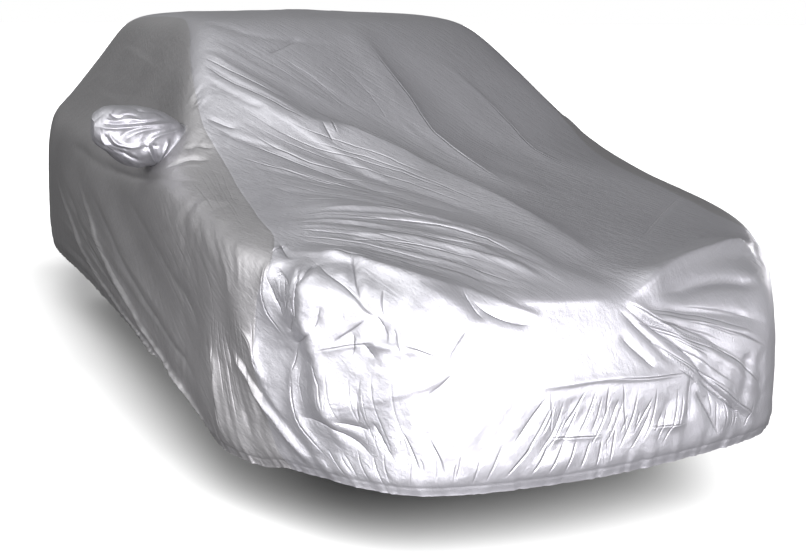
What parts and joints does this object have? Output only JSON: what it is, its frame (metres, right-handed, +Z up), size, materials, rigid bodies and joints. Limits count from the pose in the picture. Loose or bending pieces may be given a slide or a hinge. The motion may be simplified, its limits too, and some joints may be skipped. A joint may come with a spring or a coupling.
{
  "type": "car cover",
  "caption": "Fitted silver car cover hanging in the shape of a small hatchback, hollow and open below, with sewn side panels and a pocket for each door mirror.",
  "frame": {"origin": "on the inner face of the top panel at the roof, on the middle plane of the cover, where the roof below carries it", "axes": "+Z up, -Y towards the front of the cover, +Y along its length towards the tail, X across it"},
  "size_m": [1.8577, 3.9911, 1.1653],
  "materials": {
    "cloth": "silver-coated polyester, satin sheen",
    "side_cloth": "silver-coated polyester, satin sheen, a little bluer",
    "pocket_cloth": "silver-coated polyester, brighter and more crumpled"
  },
  "bodies": {
    "root": {"top_panel": "cloth", "left_side_panel": "side_cloth", "right_side_panel": "side_cloth", "left_mirror_pocket": "pocket_cloth", "right_mirror_pocket": "pocket_cloth"}
  },
  "joints": []
}
